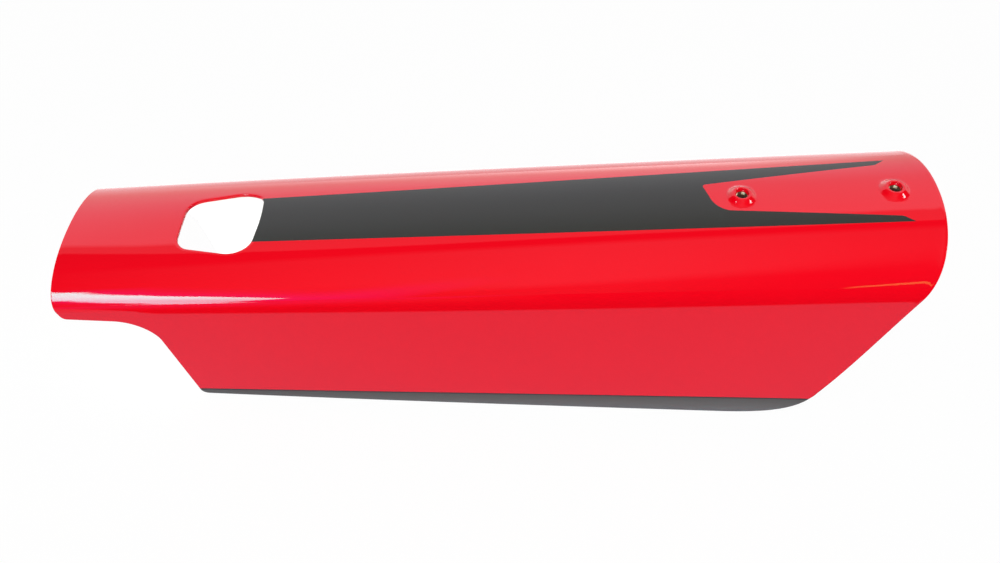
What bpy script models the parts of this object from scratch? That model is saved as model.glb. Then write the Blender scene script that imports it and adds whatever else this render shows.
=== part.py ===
"""Battery cover for the down tube of an electric two-wheeler.

One moulded shell, an inverted U that is lofted from superelliptic arches on two flanks, stands on
the lower edges of its skirts. It has a latch window near its low end, two raised bosses near its
high end, and a threaded insert pressed into each boss from below.

Metres, +Z up. The origin is on the surface that the cover stands on, in the middle of its length
and width. +X runs along the cover to its high end, and the crown is up. Every section is the same
on both sides of the plane Y = 0.
"""
import math

import bmesh
import bpy
import numpy as np
from mathutils import Matrix, Vector

MM = 0.001

# Shell, seen from the side. The step's face is measured from the low end, at its top and foot, and
# the foot of the high skirt edge from the high end.
LENGTH = 388 * MM
LOW_END_X = -LENGTH / 2
HIGH_END_X = LENGTH / 2
LOW_END_HEIGHT = 83.7 * MM
HIGH_END_HEIGHT = 132.7 * MM
CROWN_BOW = 1.3 * MM
WALL = 2.0 * MM
LOW_END_LEAN = 0.17
HIGH_SKIRT_LEAN = 0.32
LOW_END_STEP = 64.5 * MM
STEP_FACE_TOP = 42.1 * MM
STEP_FACE_FOOT = 50.7 * MM
HIGH_SKIRT_FOOT = 34.4 * MM
LOW_END_CORNER_RADIUS = 2.6 * MM
STEP_RADIUS = 17.8 * MM
LOW_CORNER_RADIUS = 4.1 * MM
HIGH_CORNER_RADIUS = 40.6 * MM

# Shell, seen along its length
LOW_FOOT_HALF_WIDTH = 37.3 * MM
HIGH_FOOT_HALF_WIDTH = 44.9 * MM
LOW_CROWN_HALF_WIDTH = 37.3 * MM
HIGH_CROWN_HALF_WIDTH = 40.3 * MM
LOW_ARCH_RISE = 14.3 * MM
HIGH_ARCH_RISE = 26.5 * MM
ARCH_FULLNESS = 2.15

# Lip, the lower band of each skirt, which curls inwards
LIP_MIDDLE_HEIGHT = 14.2 * MM
LIP_SLOPE = 0.0613
LIP_CURL_RADIUS = 57.0 * MM
LIP_LEAST_ROW = 3.0 * MM

# Latch window in the crown. Its low side, widest place and high side are measured from the low end.
WINDOW_LOW = 55.3 * MM
WINDOW_WIDEST = 81.2 * MM
WINDOW_HIGH = 91.7 * MM
WINDOW_HIGH_BOW = 1.1 * MM
WINDOW_LOW_HALF_WIDTH = 14.0 * MM
WINDOW_WIDEST_HALF_WIDTH = 19.25 * MM
WINDOW_HIGH_HALF_WIDTH = 14.2 * MM
WINDOW_LOW_RADIUS = 8.5 * MM
WINDOW_WIDEST_RADIUS = 22.5 * MM
WINDOW_HIGH_RADIUS = 6.5 * MM
WINDOW_BOW_RADIUS = 60.0 * MM

# Bosses and threaded inserts. The upper boss is measured from the high end.
UPPER_BOSS = 18.3 * MM
BOSS_PITCH = 64.0 * MM
BOSS_BASE_RADIUS = 6.9 * MM
BOSS_FACE_RADIUS = 4.7 * MM
BOSS_EDGE_RADIUS = 1.5 * MM
BOSS_HEIGHT = 1.9 * MM
BOSS_BORE_RADIUS = 2.85 * MM
BACKING_RADIUS = 5.6 * MM
BACKING_DEPTH = 9.0 * MM
INSERT_RADIUS = 3.2 * MM
INSERT_BORE_RADIUS = 2.1 * MM
INSERT_LENGTH = 6.0 * MM
INSERT_DEPTH = 2.0 * MM
INSERT_CHAMFER = 0.3 * MM
SEAT_GAP = 0.3 * MM

# Corners of the painted stripe, and of the fork in its high end, in plan. Each is a distance from
# the low end for the stripe's start, or from the high end for the rest, and a y.
STRIPE_START_LEFT = (98.6 * MM, 13.3 * MM)
STRIPE_START_RIGHT = (98.6 * MM, -12.8 * MM)
STRIPE_TIP_LEFT = (16.8 * MM, 19.9 * MM)
STRIPE_TIP_RIGHT = (13.4 * MM, -16.7 * MM)
FORK_ROOT_LEFT = (97.6 * MM, 7.9 * MM)
FORK_ROOT_RIGHT = (93.4 * MM, -7.1 * MM)
FORK_TIP_LEFT = (16.8 * MM, 18.0 * MM)
FORK_TIP_RIGHT = (13.4 * MM, -14.3 * MM)

# Facets
PATH_STEP = 13.0 * MM
CORNER_STEPS = 6
ARCH_STEPS = 11
FLANK_ROWS = 2
LIP_ROWS = 2
ROUND_SEGMENTS = 32
PROUD = 5.0 * MM

# Colours, roughness and metallic values
RED = (0.78, 0.008, 0.022, 1.0)
BLACK = (0.035, 0.034, 0.035, 1.0)
WHITE = (0.72, 0.72, 0.70, 1.0)
BRASS = (0.72, 0.60, 0.38, 1.0)
GLOSS_ROUGHNESS = 0.08
MATTE_ROUGHNESS = 0.55


def clear_objects():
    for item in list(bpy.data.objects):
        bpy.data.objects.remove(item, do_unlink=True)


def along(low, high, x):
    """A value that changes evenly from one end of the cover to the other."""
    return low + (high - low) * (x / LENGTH + 0.5)


def crown_height(x):
    """Height of the ridge of the crown: a straight slope with a slight bow."""
    return along(LOW_END_HEIGHT, HIGH_END_HEIGHT, x) + CROWN_BOW * (1 - (2 * x / LENGTH) ** 2)


def lip_height(x):
    return LIP_MIDDLE_HEIGHT + LIP_SLOPE * x


def flank_half_width(x, foot_x, z):
    """Half width of the flank: even from foot to crown, less the curl of the lip below its line."""
    share = z / crown_height(x)
    foot = along(LOW_FOOT_HALF_WIDTH, HIGH_FOOT_HALF_WIDTH, x)
    crown = along(LOW_CROWN_HALF_WIDTH, HIGH_CROWN_HALF_WIDTH, x)
    below = np.maximum(lip_height(foot_x) - z, 0)
    return foot + (crown - foot) * share - below ** 2 / (2 * LIP_CURL_RADIUS)


def flank_slope(foot_x, z):
    return np.maximum(lip_height(foot_x) - z, 0) / LIP_CURL_RADIUS


def filleted_path(corners, radii):
    """Points along straight runs joined by arcs, from the first arc's start to the last arc's end."""
    points = []
    for before, corner, after, radius in zip(corners, corners[1:], corners[2:], radii):
        back = (before - corner).normalized()
        ahead = (after - corner).normalized()
        half_angle = back.angle(ahead) / 2
        reach = radius / math.tan(half_angle)
        start = corner + back * reach
        centre = corner + (back + ahead).normalized() * (radius / math.sin(half_angle))
        if points:
            run = start - points[-1]
            steps = max(1, round(run.length / PATH_STEP))
            first = points[-1]
            points += [first + run * (i / steps) for i in range(1, steps)]
        arm = start - centre
        turn = arm.angle_signed(corner + ahead * reach - centre)
        for i in range(CORNER_STEPS + 1):
            points.append(centre + Matrix.Rotation(-turn * i / CORNER_STEPS, 2) @ arm)
    return points


def low_end_x(z):
    return LOW_END_X + LOW_END_LEAN * (LOW_END_HEIGHT - z)


def foot_path():
    """Lower edge of the skirts in the side view, from the low end to the high end."""
    skirt_foot_x = HIGH_END_X - HIGH_SKIRT_FOOT
    corners = [
        Vector((low_end_x(LOW_END_HEIGHT), LOW_END_HEIGHT)),
        Vector((low_end_x(LOW_END_STEP), LOW_END_STEP)),
        Vector((LOW_END_X + STEP_FACE_TOP, LOW_END_STEP)),
        Vector((LOW_END_X + STEP_FACE_FOOT, 0)),
        Vector((skirt_foot_x, 0)),
        Vector((skirt_foot_x + HIGH_SKIRT_LEAN * HIGH_END_HEIGHT, HIGH_END_HEIGHT)),
    ]
    radii = [LOW_END_CORNER_RADIUS, STEP_RADIUS, LOW_CORNER_RADIUS, HIGH_CORNER_RADIUS]
    return filleted_path(corners, radii)


def crown_station(foot_x, first, last):
    """Where the section with this foot meets the ridge: level amidships, leaning with each end."""
    low_share = max(0.0, foot_x / first) ** 2
    high_share = max(0.0, foot_x / last) ** 2
    return foot_x + (LOW_END_X - first) * low_share + (HIGH_END_X - last) * high_share


def half_section(x, foot_x, foot_z, inset):
    """Half of a section from ridge to foot, as rows of (half width, height), moved in by inset."""
    ridge = crown_height(x)
    rise = along(LOW_ARCH_RISE, HIGH_ARCH_RISE, x)
    springing = ridge - rise
    angle = np.linspace(0, math.pi / 2, ARCH_STEPS + 1)
    power = 2 / ARCH_FULLNESS
    across = np.sin(angle) ** power
    up = np.abs(np.cos(angle)) ** power
    up[-1] = 0
    z = springing + rise * up
    y = flank_half_width(x, foot_x, z) * across
    # The normal of the superellipse, which is level at the springing and upright at the ridge
    half_width = flank_half_width(x, foot_x, springing)
    normal_y = across ** (ARCH_FULLNESS - 1) / half_width
    normal_z = up ** (ARCH_FULLNESS - 1) / rise
    size = np.hypot(normal_y, normal_z)
    arch = np.stack([y - inset * normal_y / size, z - inset * normal_z / size], axis=1)
    least_row = min(LIP_LEAST_ROW, (springing - foot_z) / 2)
    lip_top = max(lip_height(foot_x), foot_z + least_row)
    flank_z = np.linspace(springing, lip_top, FLANK_ROWS + 1)[1:]
    lip_z = np.linspace(lip_top, foot_z, LIP_ROWS + 1)[1:]
    z = np.concatenate([flank_z, lip_z])
    y = flank_half_width(x, foot_x, z) - inset * np.sqrt(1 + flank_slope(foot_x, z) ** 2)
    return np.concatenate([arch, np.stack([y, z], axis=1)])


def section_loop(x, foot_x, foot_z, sway):
    """Closed loop of one section: the outside from foot to foot, then back along the inside.

    Between foot and ridge the section leans along a soft S: straight, plus sway times a cubic that
    is nil at the foot, halfway up and at the ridge.
    """
    loop = []
    for inset in (0.0, WALL):
        half = half_section(x, foot_x, foot_z, inset)
        right = half[::-1] * (-1, 1)
        whole = np.concatenate([right, half[1:]])
        loop.append(whole if inset == 0 else whole[::-1])
    yz = np.concatenate(loop)
    share = (yz[:, 1] - foot_z) / (crown_height(x) - foot_z)
    lean = share + sway * share * (1 - share) * (1 - 2 * share)
    return np.stack([foot_x + (x - foot_x) * lean, yz[:, 0], yz[:, 1]], axis=1)


def new_object(name, bm, materials):
    mesh = bpy.data.meshes.new(name)
    bm.to_mesh(mesh)
    bm.free()
    for material in materials:
        mesh.materials.append(material)
    item = bpy.data.objects.new(name, mesh)
    bpy.context.collection.objects.link(item)
    return item


def shade_by_angle(item, degrees):
    item.data.shade_smooth()
    item.data.set_sharp_from_angle(angle=math.radians(degrees))


def shell_loft(paint, plastic):
    """Loft the section loops along the foot path and cap both ends with strips of the wall."""
    path = foot_path()
    first, last = path[0].x, path[-1].x
    # The sway that makes the last section leave its foot at the lean of the high skirt edge
    straight = (HIGH_END_X - last) / (crown_height(HIGH_END_X) - path[-1].y)
    sway = HIGH_SKIRT_LEAN / straight - 1
    loops = [section_loop(crown_station(p.x, first, last), p.x, p.y, sway) for p in path]
    count = len(loops[0])
    outside = count // 2
    bm = bmesh.new()
    rings = [[bm.verts.new(point) for point in loop] for loop in loops]
    for ring, following in zip(rings, rings[1:]):
        for i in range(count):
            j = (i + 1) % count
            face = bm.faces.new((ring[i], ring[j], following[j], following[i]))
            face.material_index = int(i >= outside)
    for ring, flip in ((rings[0], False), (rings[-1], True)):
        for i in range(outside - 1):
            corners = [ring[i], ring[count - 1 - i], ring[count - 2 - i], ring[i + 1]]
            bm.faces.new(corners[::-1] if flip else corners)
    bmesh.ops.recalc_face_normals(bm, faces=bm.faces)
    shell = new_object("cover_shell", bm, [paint, plastic])
    shade_by_angle(shell, 35)
    return shell


def as_cutter(item):
    item.hide_render = True
    item.display_type = 'WIRE'
    return item


def add_boolean(target, tool, operation):
    modifier = target.modifiers.new(tool.name, 'BOOLEAN')
    modifier.operation = operation
    modifier.solver = 'EXACT'
    modifier.object = tool


def window_cutter():
    """Prism through the crown, with a rounded outline that is widest near its high side."""
    low_x = LOW_END_X + WINDOW_LOW
    high_x = LOW_END_X + WINDOW_HIGH
    right = [
        Vector((low_x, -WINDOW_LOW_HALF_WIDTH)),
        Vector((LOW_END_X + WINDOW_WIDEST, -WINDOW_WIDEST_HALF_WIDTH)),
        Vector((high_x, -WINDOW_HIGH_HALF_WIDTH)),
    ]
    bow = Vector((high_x + WINDOW_HIGH_BOW, 0))
    left = [Vector((corner.x, -corner.y)) for corner in reversed(right)]
    corners = [*right, bow, *left]
    radii = [WINDOW_LOW_RADIUS, WINDOW_WIDEST_RADIUS, WINDOW_HIGH_RADIUS]
    radii = [*radii[1:], WINDOW_BOW_RADIUS, *reversed(radii), radii[0]]
    outline = filleted_path(corners + corners[:2], radii)
    bottom = crown_height(low_x) - LOW_ARCH_RISE
    top = crown_height(high_x) + PROUD
    bm = bmesh.new()
    base = bm.faces.new([bm.verts.new((p.x, p.y, bottom)) for p in outline])
    lid = bmesh.ops.extrude_face_region(bm, geom=[base])
    risen = [v for v in lid["geom"] if isinstance(v, bmesh.types.BMVert)]
    bmesh.ops.translate(bm, verts=risen, vec=(0, 0, top - bottom))
    bmesh.ops.recalc_face_normals(bm, faces=bm.faces)
    return as_cutter(new_object("window_cutter", bm, []))


def turned(name, profile, placement, materials):
    """Turn a closed profile of (radius, height) about the local Z axis."""
    bm = bmesh.new()
    verts = [bm.verts.new((r, 0, z)) for r, z in profile]
    closed = profile[0][0] > 0
    pairs = list(zip(verts, verts[1:])) + ([(verts[-1], verts[0])] if closed else [])
    edges = [bm.edges.new(pair) for pair in pairs]
    bmesh.ops.spin(bm, geom=verts + edges, cent=(0, 0, 0), axis=(0, 0, 1), dvec=(0, 0, 0),
                   angle=2 * math.pi, steps=ROUND_SEGMENTS)
    bmesh.ops.remove_doubles(bm, verts=bm.verts, dist=0.001 * MM)
    bmesh.ops.recalc_face_normals(bm, faces=bm.faces)
    bmesh.ops.transform(bm, matrix=placement, verts=bm.verts)
    item = new_object(name, bm, materials)
    shade_by_angle(item, 35)
    return item


def boss_placement(x):
    """Frame on the ridge of the crown, with its Z axis square to the ridge."""
    slope = math.atan((HIGH_END_HEIGHT - LOW_END_HEIGHT) / LENGTH)
    return Matrix.Translation((x, 0, crown_height(x))) @ Matrix.Rotation(-slope, 4, 'Y')


def boss_body(name, x, materials):
    """Raised pad with a conical flank, and the unpainted backing post below it inside the cover."""
    middle = Vector((0, BOSS_HEIGHT))
    rim = Vector((BOSS_FACE_RADIUS, BOSS_HEIGHT))
    base = Vector((BOSS_BASE_RADIUS, 0))
    profile = [
        middle, *filleted_path([middle, rim, base], [BOSS_EDGE_RADIUS]), base,
        (BOSS_BASE_RADIUS, -WALL / 2), (BACKING_RADIUS, -WALL / 2),
        (BACKING_RADIUS, -BACKING_DEPTH), (0, -BACKING_DEPTH),
    ]
    placement = boss_placement(x)
    body = turned(name, profile, placement, materials)
    into_local = placement.inverted()
    for face in body.data.polygons:
        face.material_index = int((into_local @ face.center).z < -WALL)
    return as_cutter(body)


def bore_cutter(name, x):
    """Screw bore from above, and the wider pocket that takes the insert from below."""
    pocket = INSERT_RADIUS + SEAT_GAP
    ledge = BOSS_HEIGHT - INSERT_DEPTH + SEAT_GAP
    profile = [
        (0, BOSS_HEIGHT + PROUD), (BOSS_BORE_RADIUS, BOSS_HEIGHT + PROUD),
        (BOSS_BORE_RADIUS, ledge), (pocket, ledge),
        (pocket, -BACKING_DEPTH - PROUD), (0, -BACKING_DEPTH - PROUD),
    ]
    return as_cutter(turned(name, profile, boss_placement(x), []))


def threaded_insert(name, x, metal):
    """Ring-shaped insert with chamfered rims, seated under the boss."""
    top = BOSS_HEIGHT - INSERT_DEPTH
    foot = top - INSERT_LENGTH
    profile = [
        (INSERT_BORE_RADIUS + INSERT_CHAMFER, top), (INSERT_RADIUS - INSERT_CHAMFER, top),
        (INSERT_RADIUS, top - INSERT_CHAMFER), (INSERT_RADIUS, foot + INSERT_CHAMFER),
        (INSERT_RADIUS - INSERT_CHAMFER, foot), (INSERT_BORE_RADIUS + INSERT_CHAMFER, foot),
        (INSERT_BORE_RADIUS, foot + INSERT_CHAMFER), (INSERT_BORE_RADIUS, top - INSERT_CHAMFER),
    ]
    return turned(name, profile, boss_placement(x), [metal])


def plain_material(name, colour, roughness, metallic):
    material = bpy.data.materials.new(name)
    material.use_nodes = True
    shader = material.node_tree.nodes["Principled BSDF"]
    shader.inputs["Base Color"].default_value = colour
    shader.inputs["Roughness"].default_value = roughness
    shader.inputs["Metallic"].default_value = metallic
    material.diffuse_color = colour
    return material


def paint_material():
    """Gloss red, with a matte black stripe on the crown and a matte black lip.

    Each edge of the black fields is a straight line in plan or in the side view. A Math node tells
    on which side of it a point lies, and the fields are products of such sides.
    """
    material = plain_material("red_paint", RED, GLOSS_ROUGHNESS, 0.0)
    nodes = material.node_tree.nodes
    links = material.node_tree.links
    split = nodes.new('ShaderNodeSeparateXYZ')
    place = nodes.new('ShaderNodeTexCoord')
    links.new(place.outputs["Object"], split.inputs[0])
    x, y, z = split.outputs

    def maths(operation, a, b):
        node = nodes.new('ShaderNodeMath')
        node.operation = operation
        for socket, value in zip(node.inputs, (a, b)):
            if isinstance(value, (int, float)):
                socket.default_value = value
            else:
                links.new(value, socket)
        return node.outputs[0]

    def line(along_axis, start, slope):
        return maths('ADD', maths('MULTIPLY', along_axis, slope), start)

    def line_through(along_axis, start, end):
        slope = (end[1] - start[1]) / (end[0] - start[0])
        return line(along_axis, start[1] - slope * start[0], slope)

    def between(right_start, right_end, left_start, left_end):
        under_left = maths('LESS_THAN', y, line_through(x, left_start, left_end))
        over_right = maths('GREATER_THAN', y, line_through(x, right_start, right_end))
        return maths('MULTIPLY', under_left, over_right)

    def across(left, right):
        return line_through(y, left[::-1], right[::-1])

    starts = [(LOW_END_X + d, y_place) for d, y_place in (STRIPE_START_LEFT, STRIPE_START_RIGHT)]
    tips = [(HIGH_END_X - d, y_place) for d, y_place in (STRIPE_TIP_LEFT, STRIPE_TIP_RIGHT)]
    roots = [(HIGH_END_X - d, y_place) for d, y_place in (FORK_ROOT_LEFT, FORK_ROOT_RIGHT)]
    fork_tips = [(HIGH_END_X - d, y_place) for d, y_place in (FORK_TIP_LEFT, FORK_TIP_RIGHT)]
    past_root = maths('GREATER_THAN', x, across(*roots))
    fork = maths('MULTIPLY', past_root, between(roots[1], fork_tips[1], roots[0], fork_tips[0]))
    past_window = maths('GREATER_THAN', x, LOW_END_X + WINDOW_WIDEST)
    run = maths('MULTIPLY', past_window, maths('LESS_THAN', x, across(*tips)))
    band = maths('MULTIPLY', run, between(starts[1], tips[1], starts[0], tips[0]))
    stripe = maths('MULTIPLY', band, maths('SUBTRACT', 1.0, fork))
    lip = maths('LESS_THAN', z, line(x, LIP_MIDDLE_HEIGHT, LIP_SLOPE))
    black = maths('MAXIMUM', stripe, lip)

    colour = nodes.new('ShaderNodeMix')
    colour.data_type = 'RGBA'
    links.new(black, colour.inputs["Factor"])
    colour.inputs[6].default_value = RED
    colour.inputs[7].default_value = BLACK
    roughness = maths('ADD', GLOSS_ROUGHNESS, maths('MULTIPLY', black, MATTE_ROUGHNESS - GLOSS_ROUGHNESS))
    shader = nodes["Principled BSDF"]
    links.new(colour.outputs[2], shader.inputs["Base Color"])
    links.new(roughness, shader.inputs["Roughness"])
    return material


def main():
    clear_objects()
    paint = paint_material()
    plastic = plain_material("pale_plastic", WHITE, MATTE_ROUGHNESS, 0.0)
    metal = plain_material("insert_brass", BRASS, 0.3, 1.0)
    shell = shell_loft(paint, plastic)
    upper_x = HIGH_END_X - UPPER_BOSS
    places = {"lower": upper_x - BOSS_PITCH, "upper": upper_x}
    for name, x in places.items():
        add_boolean(shell, boss_body("boss_" + name, x, [paint, plastic]), 'UNION')
    add_boolean(shell, window_cutter(), 'DIFFERENCE')
    for name, x in places.items():
        add_boolean(shell, bore_cutter("bore_" + name, x), 'DIFFERENCE')
        threaded_insert("threaded_insert_" + name, x, metal)


main()
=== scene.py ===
"""Battery cover for a down tube, dressed for its picture.

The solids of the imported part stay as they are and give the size. This file makes the surfaces that
show: the painted shell with its rounded edges, window and bosses, and the two threaded inserts.
Metres, +Z up, in the part's own frame: +X runs along the cover to its high end.
"""

import math

import bmesh
import bpy
import numpy as np
from bpy.props import FloatProperty, FloatVectorProperty, IntProperty, PointerProperty
from bpy.types import Operator, Panel, PropertyGroup
from mathutils import Matrix, Vector


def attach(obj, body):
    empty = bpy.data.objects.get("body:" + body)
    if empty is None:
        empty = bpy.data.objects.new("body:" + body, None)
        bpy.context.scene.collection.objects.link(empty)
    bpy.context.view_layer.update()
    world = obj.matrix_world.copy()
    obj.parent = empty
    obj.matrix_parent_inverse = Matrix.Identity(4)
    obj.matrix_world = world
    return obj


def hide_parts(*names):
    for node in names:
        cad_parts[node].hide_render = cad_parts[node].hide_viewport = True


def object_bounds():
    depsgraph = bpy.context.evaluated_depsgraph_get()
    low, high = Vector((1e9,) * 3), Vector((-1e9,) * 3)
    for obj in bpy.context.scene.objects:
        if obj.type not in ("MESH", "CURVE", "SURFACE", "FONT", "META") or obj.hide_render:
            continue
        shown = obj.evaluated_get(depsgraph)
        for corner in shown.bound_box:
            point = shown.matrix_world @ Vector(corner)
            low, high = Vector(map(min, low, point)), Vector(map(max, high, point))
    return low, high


bl_info = {
    "name": "Battery Cover",
    "version": (1, 0, 0),
    "blender": (4, 5, 0),
    "location": "View3D > Sidebar > Battery Cover",
    "description": "Builds the painted battery cover, its threaded inserts and a studio around them",
    "category": "Object",
}

MM = 0.001

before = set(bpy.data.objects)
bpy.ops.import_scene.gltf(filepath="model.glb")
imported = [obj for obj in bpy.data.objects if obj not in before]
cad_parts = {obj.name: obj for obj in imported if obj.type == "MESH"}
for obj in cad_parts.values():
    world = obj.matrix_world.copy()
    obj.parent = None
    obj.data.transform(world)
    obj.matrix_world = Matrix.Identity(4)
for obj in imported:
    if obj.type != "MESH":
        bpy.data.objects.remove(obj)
CAD_BOX = [list(corner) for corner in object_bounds()]

# Shell, as its solid was made
LENGTH = CAD_BOX[1][0] - CAD_BOX[0][0]
LOW_END_X = CAD_BOX[0][0]
HIGH_END_X = CAD_BOX[1][0]
LOW_END_HEIGHT = 83.7 * MM
HIGH_END_HEIGHT = 132.7 * MM
CROWN_BOW = 1.3 * MM
WALL = 2.0 * MM
LOW_END_LEAN = 0.17
HIGH_SKIRT_LEAN = 0.32
LOW_END_STEP = 64.5 * MM
STEP_FACE_TOP = 42.1 * MM
STEP_FACE_FOOT = 50.7 * MM
HIGH_SKIRT_FOOT = 34.4 * MM
CORNER_RADII = (2.6 * MM, 17.8 * MM, 4.1 * MM, 40.6 * MM)
FOOT_HALF_WIDTHS = (37.3 * MM, 44.88 * MM)
CROWN_HALF_WIDTHS = (37.3 * MM, 40.3 * MM)
ARCH_RISES = (14.3 * MM, 26.5 * MM)
ARCH_FULLNESS = 2.15
LIP_MIDDLE_HEIGHT = 14.2 * MM
LIP_SLOPE = 0.0613
LIP_CURL_RADIUS = 57.0 * MM
LIP_LEAST_ROW = 3.0 * MM

# Window: each side's corners (distance from the low end, distance from the middle, corner radius),
# the bow of its high edge (distance from the low end, radius), and the place in the grid that it
# takes (first x, last x, half width)
WINDOW_RIGHT = ((55.3 * MM, 13.4 * MM, 7.4 * MM), (82.8 * MM, 18.5 * MM, 13.5 * MM),
                (90.3 * MM, 14.2 * MM, 7.4 * MM))
WINDOW_LEFT = ((55.3 * MM, 13.9 * MM, 8.4 * MM), (82.6 * MM, 18.5 * MM, 16.0 * MM),
               (91.4 * MM, 14.2 * MM, 6.5 * MM))
WINDOW_BOW = (92.3 * MM, 60.0 * MM)
WINDOW_FIELD = (-143.5 * MM, -96.5 * MM, 23.0 * MM)

# Bosses and inserts
UPPER_BOSS = 18.3 * MM
BOSS_PITCH = 64.0 * MM
BOSS_BASE_RADIUS = 6.5 * MM
BOSS_HEIGHT = 1.9 * MM
BOSS_BORE_RADIUS = 2.85 * MM
BORE_EDGE_RADIUS = 0.25 * MM
BOSS_FIELD = 10.5 * MM
THROAT_RADIUS = 2.4 * MM
THROAT_LENGTH = 0.5 * MM
THROAT_TAPER = 0.3 * MM
BACKING_RADIUS = 5.6 * MM
BACKING_DEPTH = 9.0 * MM
BACKING_CHAMFER = 0.4 * MM
POCKET_CHAMFER = 0.3 * MM
INSERT_RADIUS = 3.2 * MM
INSERT_BORE_RADIUS = 2.1 * MM
INSERT_LENGTH = 6.0 * MM
INSERT_DEPTH = 2.0 * MM
INSERT_CHAMFER = 0.5 * MM
KNURL_DEPTH = 0.12 * MM
SEAT_GAP = 0.3 * MM
BOSSES = {
    "lower": HIGH_END_X - UPPER_BOSS - BOSS_PITCH,
    "upper": HIGH_END_X - UPPER_BOSS,
}

# Upper half of an insert's outside in rows (distance below the top, cut into the radius, 1 where it
# is knurled). The lower half is its mirror image.
INSERT_OUTSIDE = (
    (0.0, 0.25 * MM, 0), (0.15 * MM, 0.08 * MM, 0), (0.5 * MM, 0.05 * MM, 0),
    (0.7 * MM, 0.0, 1), (2.4 * MM, 0.0, 1), (2.6 * MM, 0.3 * MM, 0),
)

# Where painted glints lie on the inserts, as distances along the cover from their axis
GLINT_HIGH_SIDE = (0.3 * MM, 0.6 * MM, 1.6 * MM, 1.9 * MM)
GLINT_LOW_SIDE = (-1.1 * MM, -1.4 * MM)

# Painted stripe in plan. Each side is y = start + slope x + bend x^2, the rest is lines through (x, y).
STRIPE_LEFT_SIDE = (15.1 * MM, 0.0198, 0.0642)
STRIPE_RIGHT_SIDE = (-14.75 * MM, -0.01725, 0.0379)
FORK_ROOT_X = HIGH_END_X - 98.1 * MM
FORK_ROOT_LEAN = 0.30
FORK_LEFT_EDGE = ((FORK_ROOT_X, 7.95 * MM), (HIGH_END_X - 22.8 * MM, 16.7 * MM))
FORK_RIGHT_EDGE = ((FORK_ROOT_X, -6.8 * MM), (HIGH_END_X - 18.5 * MM, -13.7 * MM))
LEFT_TIP_CUT = ((HIGH_END_X - 21.5 * MM, 16.7 * MM), (HIGH_END_X - 16.7 * MM, 20.15 * MM))
RIGHT_TIP_CUT = ((HIGH_END_X - 17.7 * MM, -13.77 * MM), (HIGH_END_X - 13.2 * MM, -16.6 * MM))
FORK_ROOT_RADII = (1.6 * MM, 6.0 * MM)
FORK_TIP_RADIUS = 0.5 * MM
STRIPE_FIRST_X = LOW_END_X + 81.2 * MM
STRIPE_LEAST_HEIGHT = 60.0 * MM
STRIPE_SOFTNESS = 0.12 * MM
LIP_SOFTNESS = 0.15 * MM
PAINT_WAVER = 0.12 * MM

# Grain of the finishes: the scale of each noise, in cycles per metre
WAVER_GRAIN = 900.0
CLOUD_GRAIN = 14.0
SMEAR_GRAIN = 42.0
PEEL_GRAIN = 420.0
MATT_GRAIN = 2600.0
PLASTIC_GRAIN = 1500.0
PATCH_GRAIN = 600.0
TOOL_MARK_GRAIN = 5200.0

# The floor, and a studio painted on it as a glowing reflection that only glossy rays see. The table's
# front edge is the line y = start - slope x - bend x^2, and turns away steeply past its corner.
FLOOR_REACH = 3.0
FLOOR_DROP = 0.05 * MM
FLOOR_WHITENESS = 0.96
TABLE_EDGE = (-0.1061, 0.1065, 0.08)
TABLE_CORNER_X = -0.192
TABLE_CORNER_TURN = 1.32
TABLE_FRONT = (0.34, 0.34, 0.49)
TABLE_BACK = (1.7, 1.7, 1.72)
FOOT_GLOW = 8.0

# Studio in the air, by direction. The panel and its dim band each end at a y.
PANEL_EDGE = 0.412
PANEL_GLOW = 1.12
BAND_EDGE = 0.217
BAND_GLOW = 0.36
ROOM_GLOW = 0.035
LAMP_TOP = 0.84
LAMP_GLOW = 10.8
LAMP_TOP_GLOW = 7.0
FRINGE_GLOW = 1.6
WARM_LINE_SLOPE = 3.2
WARM_LINE_START = -1.074
ROUND_LAMP = (0.80, -0.26, 0.54)
ROUND_LAMP_RADII = (0.13, 0.09)
ROUND_LAMP_GLOW = 16.0

# Lights: place, target, size
KEY_PANEL = ((0, -0.63, 1.142), (0, 0, 0.05), (1.2, 0.8))
WINDOW_X = LOW_END_X + WINDOW_RIGHT[0][0]
INSIDE_PANEL = ((WINDOW_X, -0.02, 0.055), (WINDOW_X, 0.03, 0.015), (0.09, 0.03))

# Fineness of the surfaces
PATH_STEP = 1.5 * MM
ARC_STEPS = 14
ARCH_ROWS = 38
FLANK_ROWS = 12
LIP_ROWS = 8
EDGE_STEPS = 4
QUARTER_TURN = np.linspace(0, math.pi / 2, EDGE_STEPS + 1)
WINDOW_ARC_STEPS = 24
WINDOW_RINGS = 8
BOSS_RINGS = 6
BOSS_FACE_RINGS = 35
THREAD_TURN_STEPS = 144
THREAD_ROWS = 96
CROWN_PASSES = 14
BOSS_PASSES = 6

# Camera, fitted to the photograph together with the shell's outline
CAMERA_PLACE = (-0.117 * MM, -237.03 * MM, 371.78 * MM)
CAMERA_DOWN = math.radians(53.151)
CAMERA_YAW = math.radians(2.268)
CAMERA_ROLL = math.radians(3.767)
CAMERA_LENS = 28.45
CAMERA_SENSOR = 36.0


# Settings


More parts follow.
